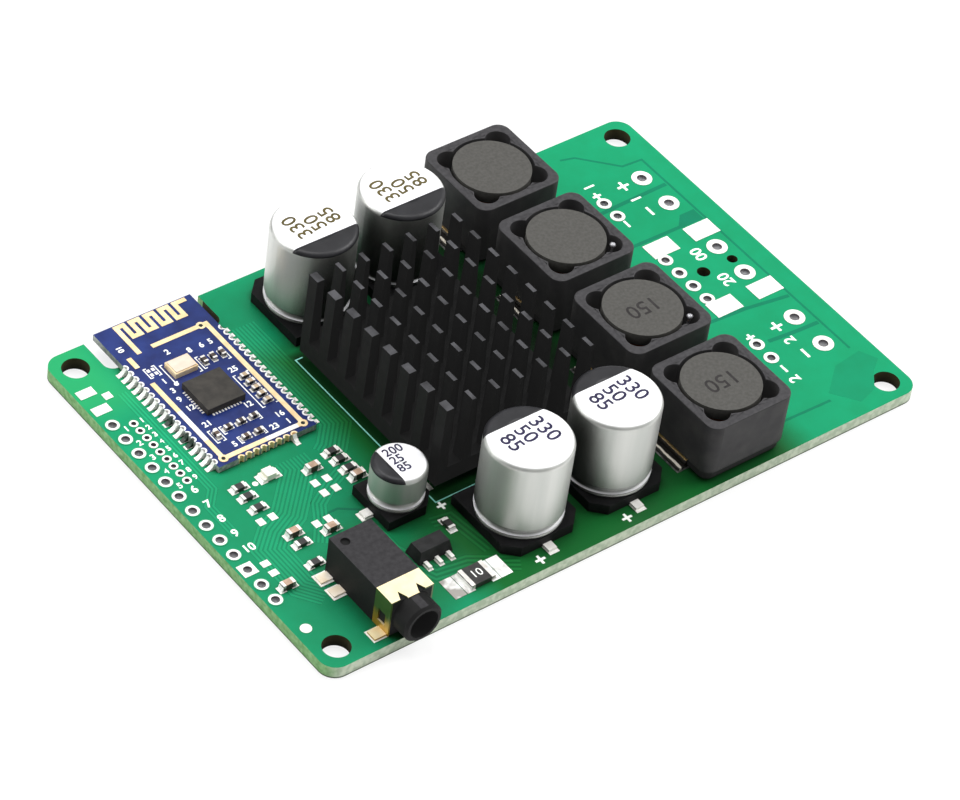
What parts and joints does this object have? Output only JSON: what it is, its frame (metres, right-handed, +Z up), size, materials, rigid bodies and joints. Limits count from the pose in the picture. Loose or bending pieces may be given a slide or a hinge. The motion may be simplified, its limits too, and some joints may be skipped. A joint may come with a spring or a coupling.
{
  "type": "audio amplifier board",
  "caption": "Bare stereo audio amplifier circuit board with pin-fin heatsink, filter inductors, electrolytic capacitors, wireless receiver module and audio jack.",
  "frame": {"origin": "middle of the four corner holes, on the underside of the circuit board", "axes": "+X along the board from the wireless module to the speaker holes, +Y away from the audio jack, +Z up out of the board's fitted side"},
  "size_m": [0.0826, 0.0556, 0.0143],
  "materials": {
    "board": "green solder mask on fibreglass",
    "tinned": "bright tin",
    "heatsink": "black anodised",
    "thermal_pad": "soft silicone",
    "moulding": "black moulding compound",
    "can": "bright drawn can",
    "base": "black moulded base",
    "ferrite_shield": "dark ferrite",
    "ferrite_drum": "grey ferrite",
    "wire": "enamelled copper wire",
    "module_board": "blue solder mask on fibreglass",
    "gilt": "thin gold plating",
    "crystal": "gilt rim",
    "crystal_lid": "plain metal lid",
    "ceramic_cap": "tan ceramic",
    "chip_resistor": "black coating on ceramic",
    "jack_plastic": "black moulded housing",
    "led": "milky resin"
  },
  "bodies": {
    "root": {"circuit_board": "board", "header_plating": "tinned", "terminal_plating": "tinned", "speaker_plating": "tinned", "bare_lands": "tinned", "part_lands": "tinned", "amplifier_leads": "tinned", "capacitor_leads": "tinned", "module_chip_lands": "tinned", "module_part_ends": "tinned", "module_solder": "tinned", "regulator_leads": "tinned", "chip_ends": "tinned", "chip_solder": "tinned", "inductor_terminals_1": "tinned", "inductor_terminals_2": "tinned", "inductor_terminals_3": "tinned", "inductor_terminals_4": "tinned", "heatsink": "heatsink", "thermal_pad": "thermal_pad", "amplifier_chip": "moulding", "module_chip": "moulding", "regulator_body": "moulding", "capacitor_can_1": "can", "capacitor_can_2": "can", "capacitor_can_3": "can", "capacitor_can_4": "can", "small_capacitor_can": "can", "capacitor_base_1": "base", "capacitor_base_2": "base", "capacitor_base_3": "base", "capacitor_base_4": "base", "small_capacitor_base": "base", "inductor_shield_1": "ferrite_shield", "inductor_shield_2": "ferrite_shield", "inductor_shield_3": "ferrite_shield", "inductor_shield_4": "ferrite_shield", "inductor_drum_1": "ferrite_drum", "inductor_drum_2": "ferrite_drum", "inductor_drum_3": "ferrite_drum", "inductor_drum_4": "ferrite_drum", "inductor_winding_1": "wire", "inductor_winding_2": "wire", "inductor_winding_3": "wire", "inductor_winding_4": "wire", "module_board": "module_board", "module_castellations": "gilt", "module_antenna": "gilt", "module_ground_track": "gilt", "jack_shell": "gilt", "jack_contacts": "gilt", "module_crystal": "crystal", "module_crystal_lid": "crystal_lid", "module_parts": "ceramic_cap", "chip_capacitors": "ceramic_cap", "wide_resistor": "chip_resistor", "chip_resistors": "chip_resistor", "jack_housing": "jack_plastic", "indicator_led": "led"}
  },
  "joints": []
}
